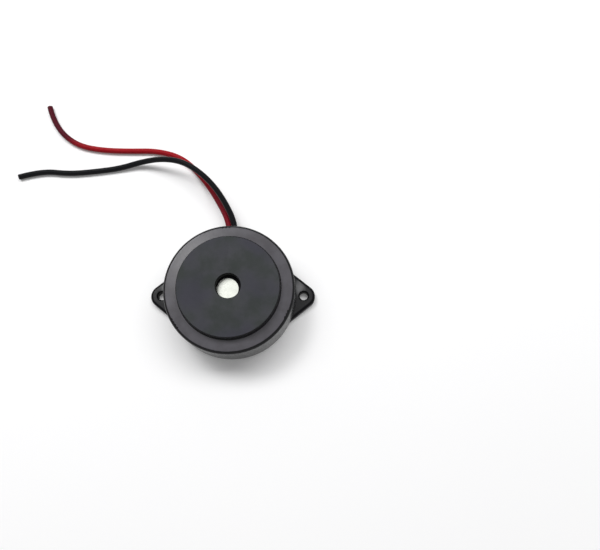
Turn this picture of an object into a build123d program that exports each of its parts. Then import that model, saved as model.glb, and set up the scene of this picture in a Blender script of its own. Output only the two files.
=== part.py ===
from build123d import *
import math
import os

# Piezo buzzer with a built-in driver: a stepped round case on two ears, a back cover,
# a disc transducer under the raised face, a driver board below it and two leads.
# Millimetres. The origin is the centre of the base, +Z runs up through the sound port,
# the ears lie along X and the leads leave on the +Y side.

# Case, outside
base_diameter = 30.0
rim_diameter = 30.0
shoulder_height = 10.4
step_height = 2.0
step_diameter = 23.6
face_diameter = 23.4
rim_edge_radius = 0.8
base_edge_radius = 0.4
face_edge_radius = 0.3
step_root_radius = 0.2
port_diameter = 5.6
port_edge_radius = 0.2

# Case, inside
side_wall = 1.4
shoulder_wall = 1.7
face_wall = 1.3
front_chamber_height = 1.2
ledge_width = 1.2
rebate_depth = 0.5
rib_count = 3
rib_width = 1.2
rib_reach = 1.3
rib_start_angle = 30

# Ears
ear_hole_spacing = 34.0
ear_hole_diameter = 2.0
ear_countersink = 0.3
ear_tip_radius = 2.7
ear_thickness = 2.0
ear_edge_angle = 39
ear_edge_radius = 0.6
ear_root_radius = 0.3

# Back cover
cover_thickness = 1.2
cover_clearance = 0.05
cover_edge_bevel = 0.2
support_ring_width = 0.9
tongue_clearance = 0.04

# Disc transducer
ceramic_diameter = 15.0
ceramic_thickness = 0.2
plate_margin = 2.5
plate_thickness = 0.2
plate_clearance = 0.2
electrode_margin = 0.4
electrode_thickness = 0.05
electrode_gap = 0.5
tongue_electrode_width = 3.0
tongue_electrode_length = 5.0
bead_width = 1.0
bead_height = 0.8
bead_hollow = 0.4

# Driver board
board_thickness = 0.8
board_underside_gap = 1.0
board_clearance = 0.35
copper_thickness = 0.05
track_width = 0.7
pad_diameter = 1.5
board_hole_diameter = 0.8
solder_height = 0.5
solder_tip_diameter = 0.8
leg_diameter = 0.45
leg_stub = 0.8

# Leads and inner wires
lead_diameter = 1.4
lead_spacing = 1.6
lead_clearance = 0.03
lead_over_board = 2.2
lead_straight_y = 17.0
core_diameter = 0.5
core_reach = 1.6
core_pad_spacing = 3.0
inner_wire_diameter = 0.7
inner_core_diameter = 0.4
dot_diameter = 1.3
dot_height = 0.45
plate_dot_angle = 15
arc_share = 0.45

# Components
transistor_diameter = 4.6
transistor_flat_depth = 1.3
transistor_standoff = 1.0
transistor_headroom = 0.95
transistor_leg_pitch = 1.27
transistor_pad_pitch = 2.2
choke_diameter = 6.0
choke_post_diameter = 2.4
choke_winding_diameter = 5.4
choke_flange = 1.0
choke_headroom = 1.55
choke_pin_pitch = 4.0
resistor_length = 3.3
resistor_diameter = 1.8
resistor_waist_diameter = 1.5
resistor_cap_length = 0.75
resistor_cap_taper = 0.15
resistor_pitch = 6.0
diode_length = 3.6
diode_diameter = 1.8
diode_end_radius = 0.36
diode_pitch = 6.0

# Levels and radii that follow from the sizes above
overall_height = shoulder_height + step_height
base_radius = base_diameter / 2
rim_radius = rim_diameter / 2
side_draft = (base_radius - rim_radius) / shoulder_height
shoulder_underside = shoulder_height - shoulder_wall
face_underside = overall_height - face_wall
plate_diameter = ceramic_diameter + 2 * plate_margin
plate_top = face_underside - front_chamber_height
plate_bottom = plate_top - plate_thickness
ceramic_bottom = plate_bottom - ceramic_thickness
electrode_bottom = ceramic_bottom - electrode_thickness
pocket_radius = plate_diameter / 2 + plate_clearance
plate_dot_radius = (ceramic_diameter / 2 + pocket_radius - bead_width) / 2
chamber_radius = pocket_radius - ledge_width
inner_base_radius = base_radius - side_wall
inner_top_radius = inner_base_radius - side_draft * shoulder_underside
rebate_radius = inner_base_radius + rebate_depth
board_bottom = cover_thickness + board_underside_gap
board_top = board_bottom + board_thickness
board_radius = inner_base_radius - side_draft * board_top - board_clearance
lead_height = board_top + lead_diameter / 2
lead_bore_diameter = lead_diameter + 2 * lead_clearance
lead_end_y = board_radius - lead_over_board
floor_height = lead_diameter / 2
space_above_board = electrode_bottom - board_top
leg_end = board_bottom - leg_stub

# Places of the parts on the board, as seen from above
diode_place = (-5.6, 6.0)
bias_place = (0.0, 2.6)
feedback_place = (3.6, -6.2)
transistor_place = (5.0, -1.6)
choke_place = (-4.9, -2.6)
main_wire_pad = (0.4, -3.0)
feedback_wire_pad = (-1.8, -8.6)
plate_wire_pad = (10.0, 1.5)
core_pad_y = lead_end_y - core_reach
main_dot = (-0.6, 0.8)
feedback_dot = (0.0, (tongue_electrode_length - ceramic_diameter) / 2)
plate_dot = (
    plate_dot_radius * math.cos(math.radians(plate_dot_angle)),
    plate_dot_radius * math.sin(math.radians(plate_dot_angle)),
)

# Routes of the leads from the board out to their free ends, chosen point by point
black_route = [
    (lead_spacing / 2, lead_end_y, lead_height),
    (lead_spacing / 2, lead_straight_y, lead_height),
    (-3.2, 24.7, 4.6),
    (-7.6, 29.8, 5.3),
    (-12.8, 33.4, 5.3),
    (-18.4, 34.9, 3.9),
    (-24.0, 35.2, 1.6),
    (-30.0, 33.7, floor_height),
    (-36.3, 32.8, floor_height),
    (-42.9, 32.2, floor_height),
    (-49.9, 33.0, floor_height),
    (-55.6, 31.3, floor_height),
]
red_route = [
    (-lead_spacing / 2, lead_end_y, lead_height),
    (-lead_spacing / 2, lead_straight_y, lead_height),
    (-4.5, 24.7, 1.7),
    (-8.5, 30.9, floor_height),
    (-13.8, 36.5, floor_height),
    (-20.6, 38.6, floor_height),
    (-27.6, 38.5, floor_height),
    (-34.4, 38.7, floor_height),
    (-40.9, 39.9, floor_height),
    (-45.7, 43.3, floor_height),
    (-48.8, 48.1, floor_height),
    (-49.8, 51.2, floor_height),
]


def tube(points, diameter, radius):
    # A round wire or lead along straight runs joined by tangent arcs
    path = FilletPolyline(*points, radius=radius)
    start = Plane(origin=path @ 0, z_dir=path % 0)
    return sweep(start * Circle(diameter / 2), path=path)


def bend_radii(points):
    # Each arc takes the same share of the shorter of its two runs
    radii = []
    for before, corner, after in zip(points, points[1:], points[2:]):
        first = Vector(*corner) - Vector(*before)
        second = Vector(*after) - Vector(*corner)
        half_turn = math.radians(first.get_angle(second)) / 2
        shorter = min(first.length, second.length)
        radii.append(arc_share * shorter / math.tan(half_turn))
    return radii


def turned(points):
    # A solid of revolution about Z from a closed outline in radius and height
    return revolve(Plane.XZ * make_face(Polyline(*points, close=True)), Axis.Z)


def disc(radius, bottom, height):
    return Pos(0, 0, bottom) * extrude(Circle(radius), height)


def body_envelope():
    # The full outside of the round body, before it is hollowed
    base = (base_radius, 0)
    rim = (rim_radius, shoulder_height)
    root = (step_diameter / 2, shoulder_height)
    edge = (face_diameter / 2, overall_height)
    outline = Polyline((0, 0), base, rim, root, edge, (0, overall_height), close=True)
    face = make_face(outline)
    for corner, radius in (
        (base, base_edge_radius),
        (rim, rim_edge_radius),
        (root, step_root_radius),
        (edge, face_edge_radius),
    ):
        face = fillet(face.vertices().sort_by_distance(corner)[0], radius)
    return revolve(Plane.XZ * face, Axis.Z)


def body_hollow():
    # Everything that is removed from inside the round body
    port_radius = port_diameter / 2
    return turned(
        [
            (0, 0),
            (rebate_radius, 0),
            (rebate_radius, cover_thickness),
            (inner_base_radius - side_draft * cover_thickness, cover_thickness),
            (inner_top_radius, shoulder_underside),
            (pocket_radius, shoulder_underside),
            (pocket_radius, plate_top),
            (chamber_radius, plate_top),
            (chamber_radius, face_underside),
            (port_radius, face_underside),
            (port_radius, overall_height),
            (0, overall_height),
        ]
    )


def ear_plate():
    # Two tapering ears, each a round tip with straight edges that run into the body
    hub_radius = ear_tip_radius + ear_hole_spacing / 2 * math.sin(math.radians(ear_edge_angle))
    tips = [Pos(side * ear_hole_spacing / 2, 0) * Circle(ear_tip_radius) for side in (-1, 1)]
    outline = make_hull(Circle(hub_radius).edges() + tips[0].edges() + tips[1].edges())
    plate = extrude(outline, ear_thickness)
    plate = fillet(plate.faces().sort_by(Axis.Z)[-1].edges(), ear_edge_radius)
    for side in (-1, 1):
        place = Pos(side * ear_hole_spacing / 2, 0, 0)
        plate -= place * extrude(Circle(ear_hole_diameter / 2), ear_thickness)
        mouth = Cone(
            ear_hole_diameter / 2,
            ear_hole_diameter / 2 + ear_countersink,
            ear_countersink,
            align=(Align.CENTER, Align.CENTER, Align.MAX),
        )
        plate -= place * Pos(0, 0, ear_thickness) * mouth
    return plate


def lead_bores():
    # Two bores side by side through the wall, one for each lead
    bores = []
    for side in (-1, 1):
        start = Plane(origin=(side * lead_spacing / 2, lead_end_y, lead_height), z_dir=(0, 1, 0))
        bores.append(extrude(start * Circle(lead_bore_diameter / 2), base_radius))
    return bores


def outlet_block(width):
    # The straight part of the lead outlet, from the base up to the leads' axes
    block = Box(width, base_radius, lead_height, align=(Align.CENTER, Align.MIN, Align.MIN))
    return Pos(0, board_radius + board_clearance / 2, 0) * block


def board_ribs():
    # Ribs on the inner wall that hold the board down on its support ring
    height = shoulder_underside - board_top
    rib = Box(inner_base_radius, rib_width, height, align=(Align.MIN, Align.CENTER, Align.MIN))
    rib = Pos(0, 0, board_top) * rib
    band = disc(rim_radius - side_wall / 2, board_top, height)
    band -= disc(inner_top_radius - rib_reach, board_top, height)
    rib &= band
    turns = [rib_start_angle + 360 / rib_count * i for i in range(rib_count)]
    return [Rot(0, 0, turn) * rib for turn in turns]


def ear_roots(case):
    # The edges where the tops of the ears meet the wall
    tops = case.faces().filter_by(Plane.XY).filter_by_position(Axis.Z, ear_thickness, ear_thickness)
    return [top.edges().sort_by(lambda edge: Vector(*edge.center()).length)[0] for top in tops]


def make_case():
    case = body_envelope() + ear_plate()
    case = fillet(ear_roots(case), ear_root_radius)
    case -= body_hollow()
    for rib in board_ribs():
        case += rib
    case -= outlet_block(lead_spacing + lead_bore_diameter)
    for bore in lead_bores():
        case -= bore
    top_face = case.faces().sort_by(Axis.Z)[-1]
    mouth = top_face.edges().sort_by(SortBy.RADIUS)[0]
    return fillet(mouth, port_edge_radius)


def make_back_cover():
    # A pressed-in disc with a ring that carries the board and a tongue under the leads
    cover = disc(rebate_radius - cover_clearance, 0, cover_thickness)
    cover = chamfer(cover.faces().sort_by(Axis.Z)[-1].edges(), cover_edge_bevel)
    ring = disc(board_radius, cover_thickness, board_underside_gap)
    ring -= disc(board_radius - support_ring_width, cover_thickness, board_underside_gap)
    tongue = outlet_block(lead_spacing + lead_bore_diameter - 2 * tongue_clearance)
    cover += ring + (tongue & body_envelope())
    for bore in lead_bores():
        cover -= bore
    return cover


def make_diaphragm_plate():
    return disc(plate_diameter / 2, plate_bottom, plate_thickness)


def make_ceramic_disc():
    return disc(ceramic_diameter / 2, ceramic_bottom, ceramic_thickness)


def tongue_outline(margin):
    # The feedback electrode's outline: a strip from the edge with a round inner end
    width = tongue_electrode_width + 2 * margin
    length = tongue_electrode_length + margin - width / 2
    edge = -ceramic_diameter / 2
    strip = Pos(0, edge) * Rectangle(width, length, align=(Align.CENTER, Align.MIN))
    return strip + Pos(0, edge + length) * Circle(width / 2)


def make_electrodes():
    # Fired silver on the ceramic's back: a large area and a small tongue for feedback
    area = Circle(ceramic_diameter / 2 - electrode_margin)
    place = Pos(0, 0, electrode_bottom)
    main = place * extrude(area - tongue_outline(electrode_gap), electrode_thickness)
    feedback = place * extrude(area & tongue_outline(0), electrode_thickness)
    return main, feedback


def make_adhesive_ring():
    # A concave silicone bead in the corner under the plate's rim
    inner = (pocket_radius - bead_width, plate_bottom)
    corner = (pocket_radius, plate_bottom)
    foot = (pocket_radius, plate_bottom - bead_height)
    middle = (
        pocket_radius - bead_width * bead_hollow,
        plate_bottom - bead_height * bead_hollow,
    )
    edges = [Line(inner, corner), Line(corner, foot), ThreePointArc(foot, middle, inner)]
    return revolve(Plane.XZ * make_face(edges), Axis.Z)


def solder_dot(place, surface):
    # A flattened blob that hangs from the disc, as wide at its tip as the wire
    dot = Cone(
        inner_wire_diameter / 2,
        dot_diameter / 2,
        dot_height,
        align=(Align.CENTER, Align.CENTER, Align.MAX),
    )
    return Pos(*place, surface) * dot


def inner_wire(dot, surface, pad):
    # Down from its dot, across the free space and straight down to the board
    top = surface - dot_height
    quarter = (top - board_top) / 4
    points = [
        (*dot, top),
        (*dot, top - quarter),
        (*pad, board_top + quarter),
        (*pad, board_top),
    ]
    return tube(points, inner_wire_diameter, bend_radii(points))


def board_leg(points, diameter):
    # A leg that ends below the board under its last point
    points = [*points, (*points[-1][:2], leg_end)]
    return tube(points, diameter, bend_radii(points))


def pin(place, top, diameter):
    return Pos(*place, leg_end) * extrude(Circle(diameter / 2), top - leg_end)


def axial_pads(place, pitch):
    return [(place[0] + side * pitch / 2, place[1]) for side in (-1, 1)]


def axial_legs(place, length, diameter, pitch):
    # Two legs out of the body's ends, bent down through the board
    x, y = place
    height = board_top + diameter / 2
    legs = []
    for side in (-1, 1):
        start = (x + side * length / 2, y, height)
        legs.append(board_leg([start, (x + side * pitch / 2, y, height)], leg_diameter))
    return Compound(children=legs)


def make_resistor(place):
    # A lacquered body, thicker over its end caps
    end = resistor_diameter / 2
    waist = resistor_waist_diameter / 2
    half = resistor_length / 2
    cap_edge = half - resistor_cap_length
    waist_edge = cap_edge - resistor_cap_taper
    outline = Polyline(
        (-half, 0),
        (-half, end),
        (-cap_edge, end),
        (-waist_edge, waist),
        (waist_edge, waist),
        (cap_edge, end),
        (half, end),
        (half, 0),
        close=True,
    )
    body = revolve(make_face(outline), Axis.X)
    return Pos(*place, board_top + end) * body


def make_diode():
    # A glass body with rounded ends
    body = Rot(0, 90, 0) * Cylinder(diode_diameter / 2, diode_length)
    body = fillet(body.edges().filter_by(GeomType.CIRCLE), diode_end_radius)
    return Pos(*diode_place, board_top + diode_diameter / 2) * body


def transistor_pads():
    # Collector, base and emitter: the middle leg is bent forward
    x, y = transistor_place
    return [
        (x - transistor_pad_pitch, y),
        (x, y - transistor_pad_pitch / 2),
        (x + transistor_pad_pitch, y),
    ]


def make_transistor():
    height = space_above_board - transistor_standoff - transistor_headroom
    radius = transistor_diameter / 2
    outline = Circle(radius)
    outline -= Pos(0, -transistor_flat_depth) * Rectangle(
        transistor_diameter,
        transistor_diameter,
        align=(Align.CENTER, Align.MAX),
    )
    return Pos(*transistor_place, board_top + transistor_standoff) * extrude(outline, height)


def make_transistor_legs():
    bottom = board_top + transistor_standoff
    legs = []
    for i, pad in enumerate(transistor_pads()):
        x = transistor_place[0] + (i - 1) * transistor_leg_pitch
        y = transistor_place[1]
        step = transistor_standoff / 4
        start = [(x, y, bottom), (x, y, bottom - step), (*pad, board_top + step)]
        legs.append(board_leg(start, leg_diameter))
    return Compound(children=legs)


def make_choke():
    # A ferrite drum on its end, its winding and the two pins under its lower flange
    height = space_above_board - choke_headroom
    flange = choke_diameter / 2
    post = choke_post_diameter / 2
    core = turned(
        [
            (0, 0),
            (flange, 0),
            (flange, choke_flange),
            (post, choke_flange),
            (post, height - choke_flange),
            (flange, height - choke_flange),
            (flange, height),
            (0, height),
        ]
    )
    winding = disc(choke_winding_diameter / 2, choke_flange, height - 2 * choke_flange)
    winding -= disc(post, choke_flange, height - 2 * choke_flange)
    place = Pos(*choke_place, board_top)
    return place * core, place * winding


def choke_pads():
    x, y = choke_place
    return [(x, y + side * choke_pin_pitch / 2) for side in (1, -1)]


def core_pads():
    return [(side * core_pad_spacing / 2, core_pad_y) for side in (-1, 1)]


def make_lead_cores():
    # Bare conductor ends from the insulation through the board
    cores = []
    for side, pad in zip((-1, 1), core_pads()):
        x = side * lead_spacing / 2
        start = (x, lead_end_y, lead_height)
        straight = (x, lead_end_y - core_diameter, lead_height)
        cores.append(board_leg([start, straight, (*pad, lead_height)], core_diameter))
    return Compound(children=cores)


def all_pads():
    # Every hole in the board with the diameter of what is soldered into it
    legs = (
        axial_pads(diode_place, diode_pitch)
        + axial_pads(bias_place, resistor_pitch)
        + axial_pads(feedback_place, resistor_pitch)
        + transistor_pads()
    )
    cores = choke_pads() + core_pads()
    wires = [main_wire_pad, feedback_wire_pad, plate_wire_pad]
    return (
        [(place, leg_diameter) for place in legs]
        + [(place, core_diameter) for place in cores]
        + [(place, inner_core_diameter) for place in wires]
    )


def make_circuit_board():
    board = disc(board_radius, board_bottom, board_thickness)
    holes = [Pos(*place, board_bottom) * hole_plug(board_thickness) for place, _ in all_pads()]
    return board - holes


def hole_plug(height):
    return extrude(Circle(board_hole_diameter / 2), height)


def track_runs():
    # The six nets of a self-driven piezo circuit, as runs between pads
    diode_in, diode_out = reversed(axial_pads(diode_place, diode_pitch))
    bias_in, bias_out = axial_pads(bias_place, resistor_pitch)
    feedback_in, feedback_out = axial_pads(feedback_place, resistor_pitch)
    collector, base, emitter = transistor_pads()
    choke_in, choke_out = choke_pads()
    red_pad, black_pad = core_pads()
    return [
        [red_pad, diode_in],
        [diode_out, (diode_out[0], choke_in[1]), choke_in, bias_in],
        [choke_out, main_wire_pad, collector],
        [bias_out, base, feedback_out],
        [feedback_in, feedback_wire_pad],
        [emitter, plate_wire_pad, black_pad],
    ]


def track(start, end):
    # A straight strip of copper between two points
    run = Vector(*end) - Vector(*start)
    middle = (Vector(*end) + Vector(*start)) / 2
    angle = math.degrees(math.atan2(run.Y, run.X))
    return Pos(middle.X, middle.Y) * Rot(0, 0, angle) * Rectangle(run.length, track_width)


def make_copper_tracks():
    # Pads joined by straight tracks on the board's underside
    copper = Sketch()
    for place, _ in all_pads():
        copper += Pos(*place) * Circle(pad_diameter / 2)
    for net in track_runs():
        for start, end in zip(net, net[1:]):
            copper += track(start, end)
    for place, _ in all_pads():
        copper -= Pos(*place) * Circle(board_hole_diameter / 2)
    return Pos(0, 0, board_bottom - copper_thickness) * extrude(copper, copper_thickness)


def make_solder_joints():
    # A cone round each leg on its pad
    surface = board_bottom - copper_thickness
    joints = []
    for place, core in all_pads():
        cone = Cone(
            solder_tip_diameter / 2,
            pad_diameter / 2,
            solder_height,
            align=(Align.CENTER, Align.CENTER, Align.MAX),
        )
        cone -= Pos(0, 0, -solder_height) * extrude(Circle(core / 2), solder_height)
        joints.append(Pos(*place, surface) * cone)
    return Compound(children=joints)


main_electrode, feedback_electrode = make_electrodes()
choke_core, choke_winding = make_choke()
wires = {
    "main_wire": (main_dot, electrode_bottom, main_wire_pad),
    "feedback_wire": (feedback_dot, electrode_bottom, feedback_wire_pad),
    "plate_wire": (plate_dot, plate_bottom, plate_wire_pad),
}

parts = {
    "case": make_case(),
    "back_cover": make_back_cover(),
    "diaphragm_plate": make_diaphragm_plate(),
    "ceramic_disc": make_ceramic_disc(),
    "main_electrode": main_electrode,
    "feedback_electrode": feedback_electrode,
    "adhesive_ring": make_adhesive_ring(),
    "disc_solder_dots": Compound(children=[solder_dot(*wire[:2]) for wire in wires.values()]),
    "hookup_wire_ends": Compound(
        children=[pin(wire[2], board_top, inner_core_diameter) for wire in wires.values()]
    ),
    "circuit_board": make_circuit_board(),
    "copper_tracks": make_copper_tracks(),
    "solder_joints": make_solder_joints(),
    "transistor": make_transistor(),
    "transistor_legs": make_transistor_legs(),
    "choke_core": choke_core,
    "choke_winding": choke_winding,
    "choke_pins": Compound(children=[pin(pad, board_top, core_diameter) for pad in choke_pads()]),
    "diode": make_diode(),
    "diode_legs": axial_legs(diode_place, diode_length, diode_diameter, diode_pitch),
    "bias_resistor": make_resistor(bias_place),
    "bias_resistor_legs": axial_legs(
        bias_place, resistor_length, resistor_diameter, resistor_pitch
    ),
    "feedback_resistor": make_resistor(feedback_place),
    "feedback_resistor_legs": axial_legs(
        feedback_place, resistor_length, resistor_diameter, resistor_pitch
    ),
    "lead_cores": make_lead_cores(),
}
for name, wire in wires.items():
    parts[name] = inner_wire(*wire)
for name, route in (("red_lead", red_route), ("black_lead", black_route)):
    parts[name] = tube(route, lead_diameter, bend_radii(route))
    print(name, "bend radii", [round(radius, 1) for radius in bend_radii(route)])

os.makedirs("parts", exist_ok=True)
for name, solid in parts.items():
    export_step(solid, f"parts/{name}.step")
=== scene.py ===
import bmesh
import bpy
import math
from mathutils import Matrix, Vector


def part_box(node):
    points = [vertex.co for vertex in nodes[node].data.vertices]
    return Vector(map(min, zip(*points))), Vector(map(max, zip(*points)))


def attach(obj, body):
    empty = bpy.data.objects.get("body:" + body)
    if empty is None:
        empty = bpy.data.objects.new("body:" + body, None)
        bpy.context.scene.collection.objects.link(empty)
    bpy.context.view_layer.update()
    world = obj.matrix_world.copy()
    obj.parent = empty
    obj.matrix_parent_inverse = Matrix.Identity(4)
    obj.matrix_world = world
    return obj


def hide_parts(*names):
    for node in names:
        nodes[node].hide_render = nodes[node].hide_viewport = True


# Piezo buzzer: finishes, leads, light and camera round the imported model. Lengths are in metres,
# apart from routes, places in shaders and values with Mm in their name, which are in mm.

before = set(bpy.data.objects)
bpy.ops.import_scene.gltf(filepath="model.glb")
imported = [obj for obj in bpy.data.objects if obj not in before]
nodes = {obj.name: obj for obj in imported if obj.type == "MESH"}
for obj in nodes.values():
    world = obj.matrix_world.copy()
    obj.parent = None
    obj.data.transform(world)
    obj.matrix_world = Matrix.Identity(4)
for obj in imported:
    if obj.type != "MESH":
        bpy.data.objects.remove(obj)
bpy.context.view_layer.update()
mm = 0.001
print("frame loaded:", len(nodes), "nodes")


# Camera

cameraSetup = {
    "place": (16.1 * mm, -30.77 * mm, 140.0 * mm),
    "tiltDegrees": 14.59,  # from straight down towards +Y
    "focalPixels": 589.3,  # across a picture 600 pixels wide
    "pictureWidth": 600,
    "sensorMm": 36.0,
    "clip": (1 * mm, 10.0),
}


def makeCamera():
    data = bpy.data.cameras.new("camera")
    data.sensor_width = cameraSetup["sensorMm"]
    data.lens = cameraSetup["focalPixels"] / cameraSetup["pictureWidth"] * cameraSetup["sensorMm"]
    data.clip_start, data.clip_end = cameraSetup["clip"]
    camera = bpy.data.objects.new("camera", data)
    camera.location = cameraSetup["place"]
    camera.rotation_euler = (math.radians(cameraSetup["tiltDegrees"]), 0, 0)
    bpy.context.scene.collection.objects.link(camera)
    bpy.context.scene.camera = camera


makeCamera()
print("camera made")


# Shader values and finishes

even = (1.0, 1.0, 1.0)
alongX = (0.08, 1.0, 1.0)
alongY = (1.0, 0.08, 1.0)
alongZ = (1.0, 1.0, 0.08)
white = (1.0, 1.0, 1.0)
mixSockets = {"factor": 0, "first": 6, "second": 7, "result": 2}  # of a colour Mix node
directRays = ("Is Camera Ray", "Is Glossy Ray", "Is Transmission Ray")


def connect(tree, value, socket):
    # links a signal, or sets a plain value on the socket itself
    if isinstance(value, Signal):
        tree.links.new(value.socket, socket)
    else:
        socket.default_value = value


class Signal:
    # one value in a shader, with arithmetic on it
    def __init__(self, tree, socket):
        self.tree = tree
        self.socket = socket

    def maths(self, operation, *values):
        node = self.tree.nodes.new("ShaderNodeMath")
        node.operation = operation
        for value, socket in zip(values, node.inputs):
            connect(self.tree, value, socket)
        return Signal(self.tree, node.outputs[0])

    def __add__(self, other):
        return self.maths("ADD", self, other)

    def __radd__(self, other):
        return self.maths("ADD", other, self)

    def __sub__(self, other):
        return self.maths("SUBTRACT", self, other)

    def __rsub__(self, other):
        return self.maths("SUBTRACT", other, self)

    def __mul__(self, other):
        return self.maths("MULTIPLY", self, other)

    def __rmul__(self, other):
        return self.maths("MULTIPLY", other, self)

    def __pow__(self, other):
        return self.maths("POWER", self, other)

    def atLeast(self, other):
        return self.maths("MAXIMUM", self, other)

    def size(self):
        return self.maths("ABSOLUTE", self)

    def wave(self):
        return self.maths("SINE", self)


class Finish:
    # a material with one Principled shader, whose fixed sockets are set when it is made
    def __init__(self, name, **fixed):
        self.material = bpy.data.materials.new(name)
        self.material.use_nodes = True
        self.tree = self.material.node_tree
        self.shader = self.tree.nodes["Principled BSDF"]
        for socketName, value in fixed.items():
            self.shader.inputs[socketName.replace("_", " ")].default_value = value

    def node(self, kind, settings, sockets, output=0):
        made = self.tree.nodes.new("ShaderNode" + kind)
        for key, value in settings.items():
            setattr(made, key, value)
        for key, value in sockets.items():
            connect(self.tree, value, made.inputs[key])
        return Signal(self.tree, made.outputs[output])

    def place(self, stretch=even, centre=(0.0, 0.0, 0.0)):
        # object coordinates in mm, measured from a centre
        coords = self.node("TexCoord", {}, {}, output="Object")
        sockets = {
            "Vector": coords,
            "Location": [-c * s for c, s in zip(centre, stretch)],
            "Scale": [s / mm for s in stretch],
        }
        return self.node("Mapping", {"vector_type": "POINT"}, sockets)

    def axis(self, vector, index):
        return self.node("SeparateXYZ", {}, {"Vector": vector}, output=index)

    def radius(self, vector):
        x = self.axis(vector, 0)
        y = self.axis(vector, 1)
        return (x * x + y * y) ** 0.5

    def noise(self, featureMm, detail, stretch=even, roughness=0.55):
        sockets = {
            "Vector": self.place(stretch),
            "Scale": 1 / featureMm,
            "Detail": detail,
            "Roughness": roughness,
        }
        return self.node("TexNoise", {}, sockets)

    def step(self, value, low, high):
        # 0 below low, 1 above high and smooth between them
        settings = {"interpolation_type": "SMOOTHSTEP"}
        sockets = {"Value": value, "From Min": low, "From Max": high, "To Min": 0.0, "To Max": 1.0}
        return self.node("MapRange", settings, sockets)

    def bandBetween(self, value, rise, fall):
        # 1 between two smooth edges and 0 outside them
        return self.step(value, *rise) * (1 - self.step(value, *fall))

    def colour(self, factor, first, second):
        settings = {"data_type": "RGBA", "clamp_factor": True}
        sockets = {
            mixSockets["factor"]: factor,
            mixSockets["first"]: rgba(first),
            mixSockets["second"]: rgba(second),
        }
        return self.node("Mix", settings, sockets, output=mixSockets["result"])

    def bump(self, height, depthMm):
        sockets = {"Height": height, "Distance": depthMm * mm, "Strength": 1.0}
        return self.node("Bump", {}, sockets)

    def set(self, **values):
        for socketName, value in values.items():
            connect(self.tree, value, self.shader.inputs[socketName.replace("_", " ")])
        return self.material


def rgba(colour):
    # a colour with its alpha, or a signal as it is
    return colour if isinstance(colour, Signal) else (*colour, 1.0)


def seenDirectly(tree):
    # 1 for the rays that show the background and 0 for the rest
    rays = tree.nodes.new("ShaderNodeLightPath")
    camera, glossy, transmission = [Signal(tree, rays.outputs[name]) for name in directRays]
    return camera.atLeast(glossy).atLeast(transmission)


# what a metal has unless its own look says otherwise
plainMetal = {
    "lineDetail": 4.0,
    "lineTexture": 0.55,
    "lineRoughness": 0.10,
    "dullDetail": 4.0,
    "dullRoughness": 0.10,
    "dullHeight": 0.5,
    "stretch": even,
    "shadedRing": None,
}


def metal(name, look):
    # drawn, rolled or fired metal: fine lines, dull patches and a bump along them
    look = {**plainMetal, **look}
    finish = Finish(name, Metallic=1.0)
    lines = finish.noise(
        look["lineMm"], look["lineDetail"], stretch=look["stretch"], roughness=look["lineTexture"]
    )
    dull = finish.noise(look["dullMm"], look["dullDetail"])
    tint = finish.colour(dull, look["dark"], look["light"])
    rough = look["roughness"] + lines * look["lineRoughness"] + dull * look["dullRoughness"]
    if look["shadedRing"]:
        # painted shade: a dark ring round a bright middle, where the port's bore shades the plate
        ring = look["shadedRing"]
        away = finish.radius(finish.place(centre=ring["centre"])) + dull * ring["raggedness"]
        shadedRing = finish.bandBetween(away, ring["darkens"], ring["clears"])
        tint = finish.colour(shadedRing, tint, ring["colour"])
        rough = rough + shadedRing * ring["roughness"]
    return finish.set(
        Base_Color=tint,
        Roughness=rough,
        Normal=finish.bump(lines + dull * look["dullHeight"], look["bumpMm"]),
    )


# what a moulded piece has unless its own look says otherwise
plainMoulding = {
    "ior": 1.5,
    "cloudDetail": 4.0,
    "cloudEdges": None,
    "cloudRoughness": 0.10,
    "cloudHeight": 0.5,
    "grainDetail": 3.0,
    "grainTexture": 0.65,
    "grainStretch": even,
    "grainRoughness": 0.0,
    "grainHeight": 1.0,
    "dust": None,
    "mark": None,
}


def moulded(name, look):
    # plastic, rubber, ceramic or glass: cloudy colour, fine grain and scattered dust
    look = {**plainMoulding, **look}
    finish = Finish(name, Specular_IOR_Level=look["specular"], IOR=look["ior"])
    cloud = finish.noise(look["cloudMm"], look["cloudDetail"])
    grain = finish.noise(
        look["grainMm"],
        look["grainDetail"],
        stretch=look["grainStretch"],
        roughness=look["grainTexture"],
    )
    patches = finish.step(cloud, *look["cloudEdges"]) if look["cloudEdges"] else cloud
    tint = finish.colour(patches, look["dark"], look["light"])
    rough = look["roughness"] + cloud * look["cloudRoughness"] + grain * look["grainRoughness"]
    height = grain * look["grainHeight"] + cloud * look["cloudHeight"]
    if look["dust"]:
        dust = look["dust"]
        spotMm = dust["sizeInGrains"] * look["grainMm"]
        spots = finish.noise(spotMm, dust["detail"], roughness=dust["texture"])
        spots = finish.step(spots, *dust["edges"])
        tint = finish.colour(spots * dust["share"], tint, dust["colour"])
        rough = rough + spots * dust["roughness"]
    if look["mark"]:
        tint, height = look["mark"](finish, tint, height)
    return finish.set(
        Base_Color=tint,
        Roughness=rough,
        Normal=finish.bump(height, look["bumpMm"]),
    )


# Leads

leadStyle = {
    "diameter": 1.4 * mm,
    "length": 71.6 * mm,
    "strandRadius": 0.085 * mm,
    "strandRing": 0.18 * mm,
    "strandSides": 12,
    "outerStrands": 6,
    "strandInside": 0.7 * mm,
    "strandProud": 0.06 * mm,
    "strandBevel": 0.02 * mm,
    "bevelSteps": 2,
    "bevelProfile": 0.5,
    "roundness": 7,
    "smoothness": 20,
    "splineOrder": 3,
}

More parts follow.
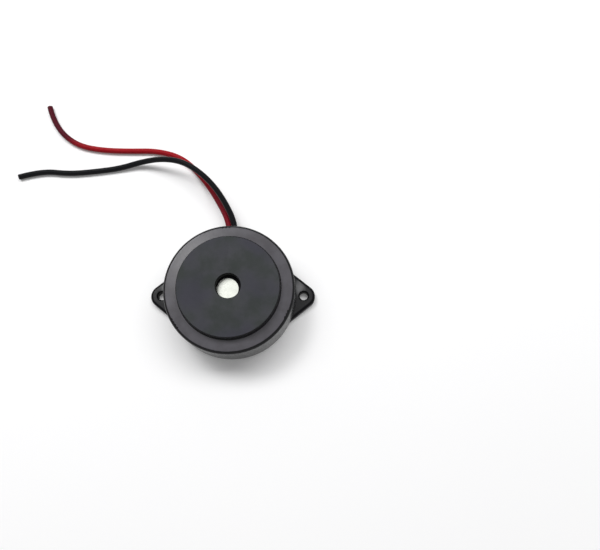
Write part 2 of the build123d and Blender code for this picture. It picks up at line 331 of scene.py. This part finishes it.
# the CAD's routes, with the second point of each 0.1 mm nearer to the other lead
blackRoute = [
    (0.8, 11.05, 3.7),
    (0.7, 17.0, 3.7),
    (-3.2, 24.7, 4.6),
    (-7.6, 29.8, 5.3),
    (-12.8, 33.4, 5.3),
    (-18.4, 34.9, 3.9),
    (-24.0, 35.2, 1.6),
    (-30.0, 33.7, 0.7),
    (-36.3, 32.8, 0.7),
    (-42.9, 32.2, 0.7),
    (-49.9, 33.0, 0.7),
    (-55.6, 31.3, 0.7),
]
redRoute = [
    (-0.8, 11.05, 3.7),
    (-0.7, 17.0, 3.7),
    (-4.5, 24.7, 1.7),
    (-8.5, 30.9, 0.7),
    (-13.8, 36.5, 0.7),
    (-20.6, 38.6, 0.7),
    (-27.6, 38.5, 0.7),
    (-34.4, 38.7, 0.7),
    (-40.9, 39.9, 0.7),
    (-45.7, 43.3, 0.7),
    (-48.8, 48.1, 0.7),
    (-49.8, 51.2, 0.7),
]

# soft extruded insulation, with fingerprints and a little dust
leadVinyl = {
    "cloudMm": 2.2,
    "cloudHeight": 0.8,
    "grainMm": 0.16,
    "grainDetail": 2.0,
    "grainTexture": 0.55,
    "bumpMm": 0.004,
    "specular": 0.09,
}
leadDust = {
    "sizeInGrains": 2.1875,
    "detail": 5.0,
    "texture": 0.7,
    "edges": (0.62, 0.76),
    "share": 0.15,
    "roughness": 0.12,
}

# painted shade on the red lead, near the outlet and towards its free end
redEndShade = {
    "far": (38.6, 43.0),
    "near": (24.0, 34.0),
    "farShare": 0.92,
    "nearShare": 0.62,
    "colour": (0.045, 0.002, 0.009),
}


def shadedEnds(finish, tint, height):
    # painted shade: the red lead darkens near the outlet, where the black lead shades it, and
    # towards its free end
    along = finish.axis(finish.place(), 1)
    farShade = finish.step(along, *redEndShade["far"]) * redEndShade["farShare"]
    nearShade = (1 - finish.step(along, *redEndShade["near"])) * redEndShade["nearShare"]
    return finish.colour(farShade + nearShade, tint, redEndShade["colour"]), height


redLook = {
    **leadVinyl,
    "dark": (0.224, 0.0048, 0.0088),
    "light": (0.35, 0.0075, 0.01375),
    "roughness": 0.34,
    "dust": {**leadDust, "colour": (0.42, 0.16, 0.16)},
    "mark": shadedEnds,
}
blackLook = {
    **leadVinyl,
    "dark": (0.0024, 0.00248, 0.0032),
    "light": (0.00375, 0.003875, 0.005),
    "roughness": 0.30,
    "dust": {**leadDust, "colour": (0.03, 0.03, 0.032)},
}
# drawn and hot-tinned copper: fine draw lines and dull patches
strandLook = {
    "dark": (0.60, 0.60, 0.59),
    "light": (0.80, 0.80, 0.78),
    "roughness": 0.24,
    "lineMm": 0.09,
    "lineDetail": 3.0,
    "lineTexture": 0.6,
    "lineRoughness": 0.0,
    "dullMm": 0.7,
    "dullDetail": 3.0,
    "dullRoughness": 0.16,
    "dullHeight": 1.0,
    "bumpMm": 0.002,
}


def makeStrands(name, route, material):
    # the cut conductor in a lead's free end: one strand in the middle of a ring
    shape = bmesh.new()
    count = leadStyle["outerStrands"]
    ring = [math.radians(360 / count * step) for step in range(count)]
    reach = leadStyle["strandRing"]
    centres = [(0.0, 0.0)] + [(reach * math.cos(a), reach * math.sin(a)) for a in ring]
    for x, y in centres:
        made = bmesh.ops.create_circle(
            shape,
            cap_ends=True,
            segments=leadStyle["strandSides"],
            radius=leadStyle["strandRadius"],
            matrix=Matrix.Translation((x, y, -leadStyle["strandInside"])),
        )
        foot = made["verts"][0].link_faces[0]
        grown = bmesh.ops.extrude_face_region(shape, geom=[foot])["geom"]
        tips = [item for item in grown if isinstance(item, bmesh.types.BMVert)]
        rise = leadStyle["strandInside"] + leadStyle["strandProud"]
        bmesh.ops.translate(shape, verts=tips, vec=(0, 0, rise))
        rims = [edge for edge in shape.edges if all(vert in tips for vert in edge.verts)]
        bmesh.ops.bevel(
            shape,
            geom=rims,
            offset=leadStyle["strandBevel"],
            affect="EDGES",
            segments=leadStyle["bevelSteps"],
            profile=leadStyle["bevelProfile"],
            material=-1,
        )
    end, before = Vector(route[-1]), Vector(route[-2])
    turn = (end - before).to_track_quat("Z", "Y").to_matrix().to_4x4()
    bmesh.ops.transform(shape, matrix=Matrix.Translation(end * mm) @ turn, verts=shape.verts)
    bmesh.ops.recalc_face_normals(shape, faces=shape.faces)
    mesh = bpy.data.meshes.new(name)
    shape.to_mesh(mesh)
    shape.free()
    mesh.materials.append(material)
    strands = bpy.data.objects.new(name, mesh)
    bpy.context.scene.collection.objects.link(strands)
    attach(strands, "root")
    return strands


def makeCord(name, node, route, material):
    # a smooth round cord in place of the CAD's lead
    curve = bpy.data.curves.new(name, "CURVE")
    curve.dimensions = "3D"
    curve.bevel_depth = leadStyle["diameter"] / 2
    curve.bevel_resolution = leadStyle["roundness"]
    curve.resolution_u = leadStyle["smoothness"]
    curve.render_resolution_u = leadStyle["smoothness"]
    curve.use_fill_caps = True
    spline = curve.splines.new("NURBS")
    spline.points.add(len(route) - 1)
    for point, place in zip(spline.points, route):
        point.co = (*[c * mm for c in place], 1.0)
    spline.order_u = leadStyle["splineOrder"]
    spline.use_endpoint_u = True
    spline.use_smooth = True
    cord = bpy.data.objects.new(name, curve)
    bpy.context.scene.collection.objects.link(cord)
    curve.materials.append(material)
    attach(cord, "root")
    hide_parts(node)


wireTin = metal("tinnedWire", strandLook)
redVinyl = moulded("redVinyl", redLook)
blackVinyl = moulded("blackVinyl", blackLook)
redStrands = makeStrands("red_lead_strands", redRoute, wireTin)
blackStrands = makeStrands("black_lead_strands", blackRoute, wireTin)
makeCord("red_insulated_lead", "red_lead", redRoute, redVinyl)
makeCord(
    "black_insulated_lead", "black_lead", blackRoute, blackVinyl
)
print("leads laid")


# Case

caseSetup = {
    "sharpDegrees": 32,
    "mergeDistance": 0.0005 * mm,
    "flatNormal": 0.9,
    "shoulder": 10.4 * mm,
    "earTop": 2.0 * mm,
    "flatDrop": 0.035 * mm,
    "earDrop": 0.004 * mm,
    "flatRise": 0.01 * mm,
    "wallFrom": 14.9 * mm,
    "wallTo": 15.1 * mm,
    "wallFoot": 0.39 * mm,
    "wallHead": 9.61 * mm,
    "portReach": 3.1 * mm,
    "portFoot": 11.0 * mm,
}

faceMarks = {
    "driftMm": 9.0,
    "driftDetail": 2.0,
    "driftEdges": (0.35, 0.65),
    "driftShare": 0.6,
    "driftColour": (0.028, 0.027, 0.040),
    "speckMm": 0.5,
    "speckShare": 0.30,
    "speckColour": (0.065, 0.068, 0.07),
    "pitMm": 0.8,
    "pitShare": 0.6,
    "pitColour": (0.010, 0.010, 0.012),
    "spotDetail": 5.0,
    "spotTexture": 0.75,
    "spotEdges": (0.66, 0.76),
}

# a painted highlight on the ear tops, beside the body
earHighlight = {
    "centre": (15.9, 1.9),
    "stretch": (1.0, 0.7, 1.0),
    "edges": (0.3, 1.9),
    "cloudMm": 1.6,
    "cloudDetail": 3.0,
    "cloudShare": 0.9,
    "least": 0.45,
    "colour": (0.17, 0.17, 0.175),
}


def mottledFace(finish, tint, height):
    # a slow drift in colour, pale specks and dark pits
    drift = finish.noise(faceMarks["driftMm"], faceMarks["driftDetail"])
    drift = finish.step(drift, *faceMarks["driftEdges"]) * faceMarks["driftShare"]
    tint = finish.colour(drift, tint, faceMarks["driftColour"])
    for kind in ("speck", "pit"):
        spots = finish.noise(
            faceMarks[kind + "Mm"], faceMarks["spotDetail"], roughness=faceMarks["spotTexture"]
        )
        spots = finish.step(spots, *faceMarks["spotEdges"]) * faceMarks[kind + "Share"]
        tint = finish.colour(spots, tint, faceMarks[kind + "Colour"])
    return tint, height


def paintedEarHighlight(finish, tint, height):
    # painted highlight: a pale patch on each ear top between the hole and the body
    cloud = finish.noise(earHighlight["cloudMm"], earHighlight["cloudDetail"])
    x, y = earHighlight["centre"]
    for side in (-1, 1):
        place = finish.place(centre=(side * x, y, 0.0), stretch=earHighlight["stretch"])
        near = 1 - finish.step(finish.radius(place), *earHighlight["edges"])
        highlight = near * (cloud * earHighlight["cloudShare"] + earHighlight["least"])
        tint = finish.colour(highlight, tint, earHighlight["colour"])
    return tint, height


# the case's finishes, by the part of the case that each one covers
caseLooks = {
    # spark-eroded charcoal
    "mattFace": {
        "dark": (0.024, 0.028, 0.027),
        "light": (0.042, 0.043, 0.048),
        "roughness": 0.58,
        "specular": 0.30,
        "ior": 1.46,
        "cloudMm": 4.5,
        "cloudEdges": (0.32, 0.68),
        "grainMm": 0.22,
        "grainRoughness": 0.06,
        "bumpMm": 0.006,
        "mark": mottledFace,
    },
    # finely etched shoulder
    "satinFlats": {
        "dark": (0.036, 0.033, 0.040),
        "light": (0.052, 0.049, 0.059),
        "roughness": 0.23,
        "specular": 0.55,
        "cloudMm": 3.2,
        "cloudDetail": 3.0,
        "cloudEdges": (0.32, 0.68),
        "cloudRoughness": 0.09,
        "cloudHeight": 0.0,
        "grainMm": 0.14,
        "grainDetail": 2.0,
        "grainTexture": 0.6,
        "grainRoughness": 0.05,
        "bumpMm": 0.0025,
    },
    # rounded edges, step and inner faces, tinted near-black as painted shade for the dark they
    # reflect
    "shadedEdges": {
        "dark": (0.005, 0.005, 0.006),
        "light": (0.009, 0.009, 0.010),
        "roughness": 0.22,
        "specular": 0.15,
        "ior": 1.45,
        "cloudMm": 2.0,
        "cloudDetail": 3.0,
        "cloudHeight": 1.0,
        "grainMm": 0.2,
        "grainHeight": 0.0,
        "bumpMm": 0.004,
    },
    # outer wall, with faint upright draw marks
    "polishedWall": {
        "dark": (0.010, 0.010, 0.012),
        "light": (0.018, 0.018, 0.020),
        "roughness": 0.20,
        "specular": 0.5,
        "ior": 1.48,
        "cloudMm": 2.6,
        "cloudDetail": 3.0,
        "cloudRoughness": 0.06,
        "cloudHeight": 0.6,
        "grainMm": 0.5,
        "grainDetail": 4.0,
        "grainTexture": 0.55,
        "grainStretch": (1.0, 1.0, 0.06),
        "grainRoughness": 0.08,
        "bumpMm": 0.004,
    },
    # port wall, dull, with its near-black colour as painted shade inside the port
    "shadedBore": {
        "dark": (0.002, 0.002, 0.002),
        "light": (0.004, 0.004, 0.004),
        "roughness": 0.52,
        "specular": 0.05,
        "ior": 1.45,
        "cloudMm": 0.9,
        "cloudDetail": 3.0,
        "cloudRoughness": 0.12,
        "cloudHeight": 1.0,
        "grainMm": 0.16,
        "grainTexture": 0.55,
        "grainStretch": (1.0, 1.0, 0.1),
        "grainRoughness": 0.08,
        "bumpMm": 0.004,
    },
    # ear tops
    "glossyEars": {
        "dark": (0.008, 0.008, 0.009),
        "light": (0.018, 0.018, 0.020),
        "roughness": 0.16,
        "specular": 0.26,
        "cloudMm": 1.6,
        "cloudDetail": 3.0,
        "cloudRoughness": 0.12,
        "cloudHeight": 2.0,
        "grainMm": 0.2,
        "grainTexture": 0.6,
        "bumpMm": 0.004,
        "mark": paintedEarHighlight,
    },
    # rounded rims, bores and countersinks of the ears, tinted near-black as painted shade
    "shadedRims": {
        "dark": (0.002, 0.002, 0.003),
        "light": (0.005, 0.005, 0.006),
        "roughness": 0.30,
        "specular": 0.07,
        "ior": 1.45,
        "cloudMm": 1.1,
        "cloudDetail": 3.0,
        "cloudRoughness": 0.12,
        "cloudHeight": 1.0,
        "grainMm": 0.2,
        "grainTexture": 0.55,
        "bumpMm": 0.004,
    },
}


def caseFinishOf(face, top):
    # the finish for a face, by where it is and which way it looks
    centre = face.calc_center_median()
    reach = math.hypot(centre.x, centre.y)
    low = min(vert.co.z for vert in face.verts)
    high = max(vert.co.z for vert in face.verts)
    flats = (
        ("mattFace", top, caseSetup["flatDrop"]),
        ("satinFlats", caseSetup["shoulder"], caseSetup["flatDrop"]),
        ("glossyEars", caseSetup["earTop"], caseSetup["earDrop"]),
    )
    for finishName, level, drop in flats:
        flat = level - drop < low and high < level + caseSetup["flatRise"]
        if flat and face.normal.z > caseSetup["flatNormal"]:
            return finishName
    if reach < caseSetup["portReach"] and centre.z > caseSetup["portFoot"]:
        return "shadedBore"
    onWall = caseSetup["wallFrom"] < reach < caseSetup["wallTo"]
    if onWall and low > caseSetup["wallFoot"] and high < caseSetup["wallHead"]:
        return "polishedWall"
    onEar = reach > caseSetup["wallTo"] and centre.z < caseSetup["earTop"]
    return "shadedRims" if onEar else "shadedEdges"


def mergedCopy(name, node):
    # a copy of a node's mesh with its loose triangles joined and smooth between sharp edges
    shape = bmesh.new()
    shape.from_mesh(nodes[node].data)
    bmesh.ops.remove_doubles(shape, verts=shape.verts, dist=caseSetup["mergeDistance"])
    limit = math.radians(caseSetup["sharpDegrees"])
    for face in shape.faces:
        face.smooth = True
    for edge in shape.edges:
        edge.smooth = edge.is_manifold and edge.calc_face_angle() < limit
    mesh = bpy.data.meshes.new(name)
    shape.to_mesh(mesh)
    shape.free()
    if "custom_normal" in mesh.attributes:
        mesh.attributes.remove(mesh.attributes["custom_normal"])
    piece = bpy.data.objects.new(name, mesh)
    bpy.context.scene.collection.objects.link(piece)
    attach(piece, "root")
    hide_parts(node)
    return piece


def dressCase():
    # sorts the case's faces into its finishes
    case = mergedCopy("moulded_case", "case")
    case.data.materials.clear()
    for finishName, look in caseLooks.items():
        case.data.materials.append(moulded(finishName, look))
    order = list(caseLooks)
    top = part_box("case")[1].z
    shape = bmesh.new()
    shape.from_mesh(case.data)
    for face in shape.faces:
        face.material_index = order.index(caseFinishOf(face, top))
    shape.to_mesh(case.data)
    shape.free()


dressCase()
print("case dressed")


# Pieces that keep their CAD mesh

metalLooks = {
    "nickelPlate": {
        "nodes": ["diaphragm_plate"],
        "dark": (0.68, 0.70, 0.64),
        "light": (0.84, 0.86, 0.80),
        "roughness": 0.14,
        "lineMm": 0.35,
        "dullMm": 1.4,
        "stretch": alongX,
        "bumpMm": 0.0015,
        # painted shade that the port's bore casts on the plate round its lit middle
        "shadedRing": {
            "centre": (-0.32, -0.15, 0.0),
            "darkens": (2.45, 2.62),
            "clears": (4.8, 5.6),
            "raggedness": 0.15,
            "colour": (0.010, 0.010, 0.011),
            "roughness": 0.3,
        },
    },
    "firedSilver": {
        "nodes": ["main_electrode", "feedback_electrode"],
        "dark": (0.66, 0.65, 0.62),
        "light": (0.82, 0.81, 0.78),
        "roughness": 0.42,
        "lineMm": 0.25,
        "dullMm": 1.2,
        "bumpMm": 0.006,
    },
    "tinLeadSolder": {
        "nodes": ["disc_solder_dots", "solder_joints"],
        "dark": (0.52, 0.52, 0.54),
        "light": (0.74, 0.74, 0.75),
        "roughness": 0.16,
        "lineMm": 0.3,
        "dullMm": 0.6,
        "bumpMm": 0.010,
    },
    "dippedLegs": {
        "nodes": ["transistor_legs", "choke_pins", "diode_legs", "lead_cores"],
        "dark": (0.58, 0.58, 0.57),
        "light": (0.78, 0.78, 0.76),
        "roughness": 0.20,
        "lineMm": 0.12,
        "dullMm": 0.7,
        "stretch": alongZ,
        "bumpMm": 0.003,
    },
    "drawnEnds": {
        "nodes": ["hookup_wire_ends", "bias_resistor_legs", "feedback_resistor_legs"],
        "dark": (0.62, 0.61, 0.60),
        "light": (0.80, 0.80, 0.78),
        "roughness": 0.22,
        "lineMm": 0.10,
        "dullMm": 0.6,
        "stretch": alongX,
        "bumpMm": 0.003,
    },
    "etchedCopper": {
        "nodes": ["copper_tracks"],
        "dark": (0.58, 0.24, 0.12),
        "light": (0.78, 0.38, 0.22),
        "roughness": 0.26,
        "lineMm": 0.3,
        "dullMm": 1.5,
        "stretch": alongY,
        "bumpMm": 0.003,
    },
}

windingTurns = {"pitchMm": 0.22, "creaseShade": (0.12, 0.022, 0.008), "height": 6.0}

cathode = {
    "centre": (-5.6, 6.0, 0.0),
    "rise": (-1.30, -1.20),
    "fall": (-0.75, -0.65),
    "colour": (0.008, 0.008, 0.009),
    "height": 0.5,
}

codeBands = {"places": (-1.1, -0.5, 0.1, 1.0), "edges": (0.13, 0.19), "height": 0.6}

coverMarks = {
    "pins": ((-8.0, -5.5), (8.0, -5.5), (0.0, 9.5)),
    "pinRadiusMm": 1.3,
    "pinEdges": (0.05, 0.16),
    "pinDepth": 5.0,
    "gate": (0.0, -11.0, 0.0),
    "gateEdges": (0.35, 0.55),
    "gateHeight": 6.0,
    "gateShare": 0.4,
    "swirlMm": 2.0,
    "swirlDetail": 3.0,
    "swirlStretch": (1.0, 0.3, 1.0),
    "swirlShare": 0.3,
    "colour": (0.05, 0.05, 0.052),
}

glassCloth = {"pitchMm": 0.5, "share": 0.25, "colour": (0.10, 0.22, 0.08), "height": 0.8}


def turnsOfWire(finish, tint, height):
    # the winding's turns, one above the other, with painted shade in the creases between them
    up = finish.axis(finish.place(), 2)
    turns = (up * (2 * math.pi / windingTurns["pitchMm"])).wave() * 0.5 + 0.5
    tint = finish.colour(turns, windingTurns["creaseShade"], tint)
    return tint, turns * windingTurns["height"] + height


def cathodeBand(finish, tint, height):
    # the dark ring at one end of the diode
    across = finish.axis(finish.place(centre=cathode["centre"]), 0)
    band = finish.bandBetween(across, cathode["rise"], cathode["fall"])
    return finish.colour(band, tint, cathode["colour"]), height + band * cathode["height"]


def colourCode(centreX, colours):
    # four painted bands across a resistor that lies along X
    def mark(finish, tint, height):
        across = finish.axis(finish.place(centre=(centreX, 0.0, 0.0)), 0)
        for place, colour in zip(codeBands["places"], colours):
            band = 1 - finish.step((across - place).size(), *codeBands["edges"])
            tint = finish.colour(band, tint, colour)
            height = height + band * codeBands["height"]
        return tint, height

    return mark


def ejectorMarks(finish, tint, height):
    # three pin marks and the gate's stub on the back of the cover
    for x, y in coverMarks["pins"]:
        away = finish.radius(finish.place(centre=(x, y, 0.0)))
        edge = (away - coverMarks["pinRadiusMm"]).size()
        height = height - (1 - finish.step(edge, *coverMarks["pinEdges"])) * coverMarks["pinDepth"]
    gate = finish.radius(finish.place(centre=coverMarks["gate"]))
    stub = 1 - finish.step(gate, *coverMarks["gateEdges"])
    swirl = finish.noise(
        coverMarks["swirlMm"], coverMarks["swirlDetail"], stretch=coverMarks["swirlStretch"]
    )
    pale = stub * coverMarks["gateShare"] + swirl * coverMarks["swirlShare"]
    tint = finish.colour(pale, tint, coverMarks["colour"])
    return tint, height + stub * coverMarks["gateHeight"]


def laminateWeave(finish, tint, height):
    # glass cloth that shows faintly through the green resin
    place = finish.place()
    turn = 2 * math.pi / glassCloth["pitchMm"]
    warp = (finish.axis(place, 0) * turn).wave()
    weft = (finish.axis(place, 1) * turn).wave()
    weave = warp * weft * 0.5 + 0.5
    tint = finish.colour(weave * glassCloth["share"], tint, glassCloth["colour"])
    return tint, height + weave * glassCloth["height"]


brown, black, orange = (0.09, 0.025, 0.01), (0.006, 0.006, 0.007), (0.55, 0.14, 0.01)
yellow, violet, gold = (0.55, 0.42, 0.02), (0.12, 0.03, 0.22), (0.36, 0.22, 0.05)

innerDust = {
    "sizeInGrains": 3,
    "detail": 5.0,
    "texture": 0.7,
    "edges": (0.64, 0.78),
    "share": 0.12,
    "colour": (0.5, 0.5, 0.48),
    "roughness": 0.10,
}

mouldedLooks = {
    "coverMoulding": {
        "nodes": ["back_cover"],
        "dark": (0.016, 0.016, 0.018),
        "light": (0.028, 0.028, 0.031),
        "roughness": 0.46,
        "specular": 0.35,
        "cloudMm": 4.0,
        "grainMm": 0.2,
        "bumpMm": 0.006,
        "mark": ejectorMarks,
    },
    "piezoCeramic": {
        "nodes": ["ceramic_disc"],
        "dark": (0.50, 0.44, 0.32),
        "light": (0.66, 0.60, 0.46),
        "roughness": 0.55,
        "specular": 0.4,
        "cloudMm": 2.5,
        "grainMm": 0.1,
        "bumpMm": 0.003,
    },
    "siliconeBead": {
        "nodes": ["adhesive_ring"],
        "dark": (0.55, 0.56, 0.54),
        "light": (0.74, 0.75, 0.72),
        "roughness": 0.34,
        "specular": 0.45,
        "cloudMm": 1.8,
        "grainMm": 0.4,
        "bumpMm": 0.012,
    },
    "boardLaminate": {
        "nodes": ["circuit_board"],
        "dark": (0.03, 0.10, 0.035),
        "light": (0.05, 0.15, 0.05),
        "roughness": 0.36,
        "specular": 0.5,
        "cloudMm": 3.0,
        "grainMm": 0.2,
        "bumpMm": 0.003,
        "mark": laminateWeave,
    },
    "epoxyBody": {
        "nodes": ["transistor"],
        "dark": (0.010, 0.010, 0.011),
        "light": (0.022, 0.022, 0.023),
        "roughness": 0.50,
        "specular": 0.4,
        "cloudMm": 1.5,
        "grainMm": 0.12,
        "bumpMm": 0.006,
    },
    "sinteredFerrite": {
        "nodes": ["choke_core"],
        "dark": (0.020, 0.019, 0.018),
        "light": (0.045, 0.043, 0.041),
        "roughness": 0.48,
        "specular": 0.45,
        "cloudMm": 1.2,
        "grainMm": 0.08,
        "bumpMm": 0.008,
    },
    "enamelledTurns": {
        "nodes": ["choke_winding"],
        "dark": (0.36, 0.08, 0.025),
        "light": (0.50, 0.14, 0.05),
        "roughness": 0.22,
        "specular": 0.6,
        "cloudMm": 1.2,
        "grainMm": 0.1,
        "bumpMm": 0.010,
        "mark": turnsOfWire,
    },
    "diodeGlass": {
        "nodes": ["diode"],
        "dark": (0.36, 0.11, 0.03),
        "light": (0.52, 0.20, 0.07),
        "roughness": 0.08,
        "specular": 0.7,
        "cloudMm": 0.8,
        "grainMm": 0.3,
        "bumpMm": 0.003,
        "mark": cathodeBand,
    },
    "biasLacquer": {
        "nodes": ["bias_resistor"],
        "dark": (0.46, 0.32, 0.18),
        "light": (0.60, 0.44, 0.27),
        "roughness": 0.30,
        "specular": 0.5,
        "cloudMm": 0.9,
        "grainMm": 0.15,
        "bumpMm": 0.005,
        "mark": colourCode(centreX=0.0, colours=(brown, black, orange, gold)),
    },
    "feedbackLacquer": {
        "nodes": ["feedback_resistor"],
        "dark": (0.45, 0.31, 0.17),
        "light": (0.59, 0.43, 0.26),
        "roughness": 0.31,
        "specular": 0.5,
        "cloudMm": 0.9,
        "grainMm": 0.15,
        "bumpMm": 0.005,
        "mark": colourCode(centreX=3.6, colours=(yellow, violet, brown, gold)),
    },
    "mainWireVinyl": {
        "nodes": ["main_wire"],
        "dark": (0.30, 0.010, 0.014),
        "light": (0.42, 0.020, 0.026),
        "roughness": 0.34,
        "specular": 0.45,
        "cloudMm": 1.4,
        "grainMm": 0.12,
        "bumpMm": 0.004,
    },
    "feedbackWireVinyl": {
        "nodes": ["feedback_wire"],
        "dark": (0.02, 0.05, 0.26),
        "light": (0.03, 0.08, 0.38),
        "roughness": 0.34,
        "specular": 0.45,
        "cloudMm": 1.4,
        "grainMm": 0.12,
        "bumpMm": 0.004,
    },
    "plateWireVinyl": {
        "nodes": ["plate_wire"],
        "dark": (0.008, 0.008, 0.009),
        "light": (0.018, 0.018, 0.019),
        "roughness": 0.34,
        "specular": 0.45,
        "cloudMm": 1.4,
        "grainMm": 0.12,
        "bumpMm": 0.004,
    },
}


def dress(look, material):
    # a CAD node keeps its mesh and takes a finish
    for node in look["nodes"]:
        data = nodes[node].data
        data.materials.clear()
        data.materials.append(material)


for lookName, look in metalLooks.items():
    dress(look, metal(lookName, look))
for lookName, look in mouldedLooks.items():
    dress(look, moulded(lookName, {**look, "dust": innerDust}))
print("inner pieces dressed")


# Stage and light

stageSetup = {
    "radius": 1.2,
    "sides": 96,
    "sink": 0.02 * mm,
    "colour": (0.97, 0.97, 0.975),
    "lift": 0.10,
    "fadeMm": (70.0, 190.0),
}
lights = {
    "key": {
        "polarDegrees": 25,
        "turnDegrees": 90,
        "distance": 0.54,
        "size": (1.15, 0.24),
        "power": 3.1,
        "glossy": False,
    },
    "side": {
        "polarDegrees": 33,
        "turnDegrees": 128,
        "distance": 0.55,
        "size": (0.16, 0.16),
        "power": 0.62,
        "glossy": True,
    },
}
worldFill = 0.25  # the light from all round, as a share of the white background


def floorMaterial():
    # pale floor that keeps its shadow and fades to white with distance
    colour = rgba(stageSetup["colour"])
    finish = Finish("paleFloor", Base_Color=colour, Specular_IOR_Level=0.0, Roughness=1.0)
    fade = finish.step(finish.radius(finish.place()), *stageSetup["fadeMm"])
    lift = stageSetup["lift"]
    glow = finish.node("Emission", {}, {"Color": rgba(white), "Strength": 1.0})
    share = seenDirectly(finish.tree) * (lift + fade * (1 - lift))
    surface = Signal(finish.tree, finish.shader.outputs[0])
    mixed = finish.node("MixShader", {}, {0: share, 1: surface, 2: glow})
    output = finish.tree.nodes["Material Output"]
    finish.tree.links.new(mixed.socket, output.inputs["Surface"])
    return finish.material


def makeFloor():
    # a wide disc just below the part
    shape = bmesh.new()
    bmesh.ops.create_circle(
        shape, cap_ends=True, segments=stageSetup["sides"], radius=stageSetup["radius"]
    )
    bmesh.ops.translate(shape, verts=shape.verts, vec=(0, 0, -stageSetup["sink"]))
    mesh = bpy.data.meshes.new("floor")
    shape.to_mesh(mesh)
    shape.free()
    mesh.materials.append(floorMaterial())
    floor = bpy.data.objects.new("floor", mesh)
    bpy.context.scene.collection.objects.link(floor)


def makeLight(name, setup):
    # an area lamp that looks at the origin
    data = bpy.data.lights.new(name, "AREA")
    data.shape = "ELLIPSE"
    data.size, data.size_y = setup["size"]
    data.energy = setup["power"]
    polar = math.radians(setup["polarDegrees"])
    turn = math.radians(setup["turnDegrees"])
    away = Vector(
        (math.sin(polar) * math.cos(turn), math.sin(polar) * math.sin(turn), math.cos(polar))
    )
    light = bpy.data.objects.new(name, data)
    light.location = away * setup["distance"]
    light.rotation_euler = away.to_track_quat("Z", "Y").to_euler()
    light.visible_glossy = setup["glossy"]
    bpy.context.scene.collection.objects.link(light)


def makeWorld():
    # dim light from all round, in front of a white background
    world = bpy.data.worlds.new("studio")
    world.use_nodes = True
    tree = world.node_tree
    background = tree.nodes["Background"]
    strength = worldFill + seenDirectly(tree) * (1 - worldFill)
    background.inputs["Color"].default_value = rgba(white)
    tree.links.new(strength.socket, background.inputs["Strength"])
    bpy.context.scene.world = world


makeFloor()
for lightName, lightSetup in lights.items():
    makeLight(lightName, lightSetup)
makeWorld()
bpy.context.scene.view_settings.view_transform = "Standard"
print("stage and light set")
